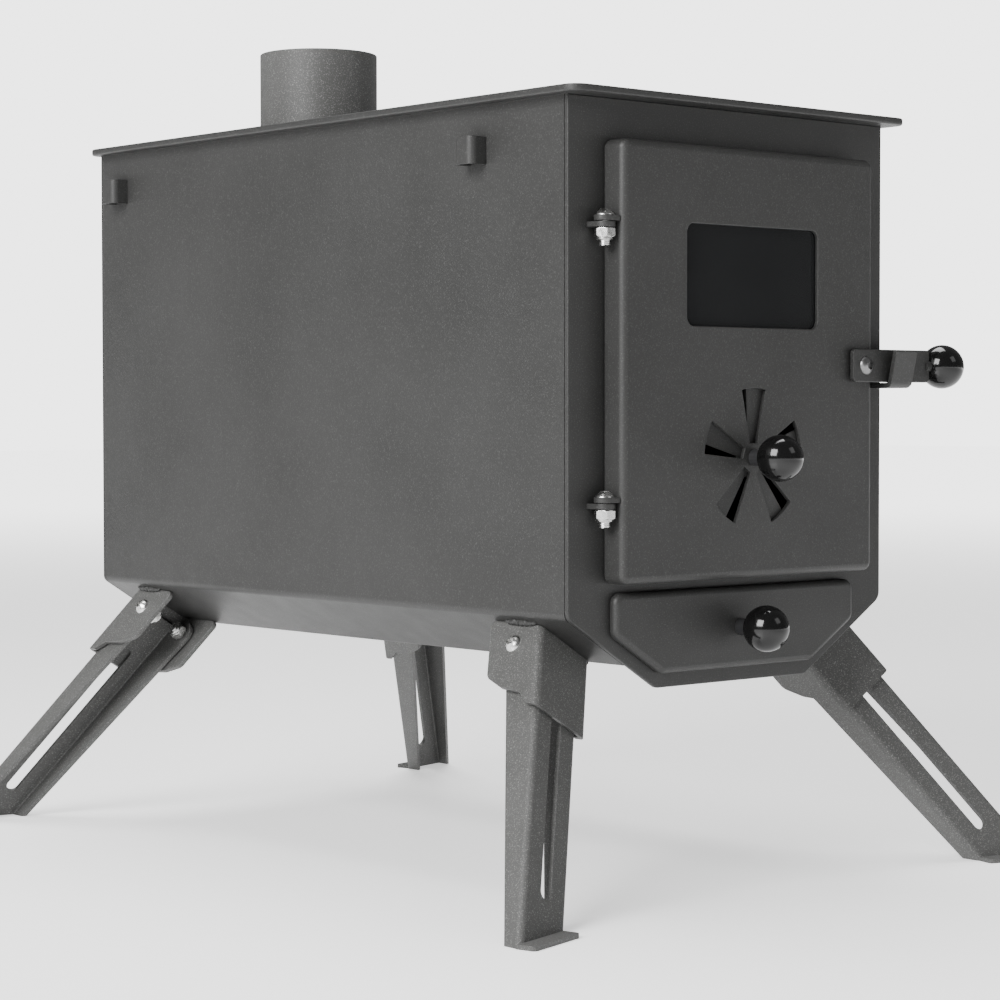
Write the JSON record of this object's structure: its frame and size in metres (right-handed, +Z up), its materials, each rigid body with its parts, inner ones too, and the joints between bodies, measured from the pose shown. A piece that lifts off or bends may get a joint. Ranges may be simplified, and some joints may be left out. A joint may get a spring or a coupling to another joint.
{
  "type": "tent wood stove",
  "caption": "Small box-shaped sheet steel wood stove for a tent, with a glass door, an air control, an ash drawer, a top flue collar and folding legs.",
  "frame": {"origin": "on the ground, under the middle of the firebox in plan", "axes": "+X to the latch side, the right-hand side seen from the front; -Y to the front, where the door is; +Z up"},
  "size_m": [0.4078, 0.567, 0.493],
  "materials": {
    "coated_steel": "fine-textured high-temperature coating, satin",
    "bright_steel": "bright stainless steel",
    "black_steel": "satin black",
    "black_ball": "polished black",
    "dark_glass": "heat-resistant glass, dark against the unlit firebox",
    "seal_rope": "woven glass-fibre rope"
  },
  "bodies": {
    "stove_body": {"body_shell": "coated_steel", "front_plate": "coated_steel", "rear_plate": "coated_steel", "top_plate": "coated_steel", "flue_collar": "coated_steel", "smoke_baffle": "coated_steel", "baffle_ledges": "coated_steel", "fire_grate": "coated_steel", "grate_ledges": "coated_steel", "drawer_guides": "coated_steel", "side_loops_left": "coated_steel", "side_loops_right": "coated_steel", "latch_hook": "coated_steel", "hinge_body_tabs": "coated_steel", "hinge_screws": "bright_steel", "hinge_nuts": "bright_steel", "leg_bracket_front_left": "coated_steel", "leg_bracket_front_right": "coated_steel", "leg_bracket_rear_left": "coated_steel", "leg_bracket_rear_right": "coated_steel", "leg_screws": "bright_steel", "leg_nuts": "bright_steel", "weld_beads": "coated_steel"},
    "door": {"door_panel": "coated_steel", "hinge_door_tabs": "coated_steel", "seal_wall_ring": "coated_steel", "door_seal": "seal_rope", "window_glass": "dark_glass", "window_frame": "coated_steel", "window_studs": "bright_steel", "latch_screw": "bright_steel", "latch_nut": "bright_steel", "latch_washer": "bright_steel"},
    "latch": {"latch_lever": "coated_steel", "latch_knob": "black_ball"},
    "air_control": {"spinner_disc": "coated_steel", "spinner_stem": "black_steel", "spinner_nut": "bright_steel", "spinner_knob": "black_ball"},
    "ash_drawer": {"drawer_front": "coated_steel", "ash_tray": "coated_steel", "drawer_stem": "black_steel", "drawer_nut": "bright_steel", "drawer_knob": "black_ball"},
    "front_left_leg": {"leg_front_left": "coated_steel"},
    "front_right_leg": {"leg_front_right": "coated_steel"},
    "rear_left_leg": {"leg_rear_left": "coated_steel"},
    "rear_right_leg": {"leg_rear_right": "coated_steel"}
  },
  "joints": [
    {"name": "door_swing", "type": "hinge", "parent": "stove_body", "child": "door", "pos_m": [-0.104, -0.23, 0.28675], "axis": [0, 0, -1], "range_deg": [0, 150]},
    {"name": "latch_lift", "type": "hinge", "parent": "door", "child": "latch", "pos_m": [0.087, -0.2408, 0.28675], "axis": [0, -1, 0], "range_deg": [0, 65]},
    {"name": "air_turn", "type": "hinge", "parent": "door", "child": "air_control", "pos_m": [0, -0.2345, 0.2358], "axis": [0, -1, 0], "range_deg": [-30.5, 5.5]},
    {"name": "drawer_slide", "type": "slide", "parent": "stove_body", "child": "ash_drawer", "axis": [0, -1, 0], "range_m": [0, 0.3]},
    {"name": "front_left_leg_fold", "type": "hinge", "parent": "stove_body", "child": "front_left_leg", "pos_m": [-0.10411, -0.178, 0.12676], "axis": [0.848, 0, -0.53], "range_deg": [0, 90]},
    {"name": "front_right_leg_fold", "type": "hinge", "parent": "stove_body", "child": "front_right_leg", "pos_m": [0.10411, -0.178, 0.12676], "axis": [0.848, 0, 0.53], "range_deg": [0, 90]},
    {"name": "rear_left_leg_fold", "type": "hinge", "parent": "stove_body", "child": "rear_left_leg", "pos_m": [-0.10411, 0.178, 0.12676], "axis": [-0.848, 0, 0.53], "range_deg": [0, 90]},
    {"name": "rear_right_leg_fold", "type": "hinge", "parent": "stove_body", "child": "rear_right_leg", "pos_m": [0.10411, 0.178, 0.12676], "axis": [-0.848, 0, -0.53], "range_deg": [0, 90]}
  ]
}
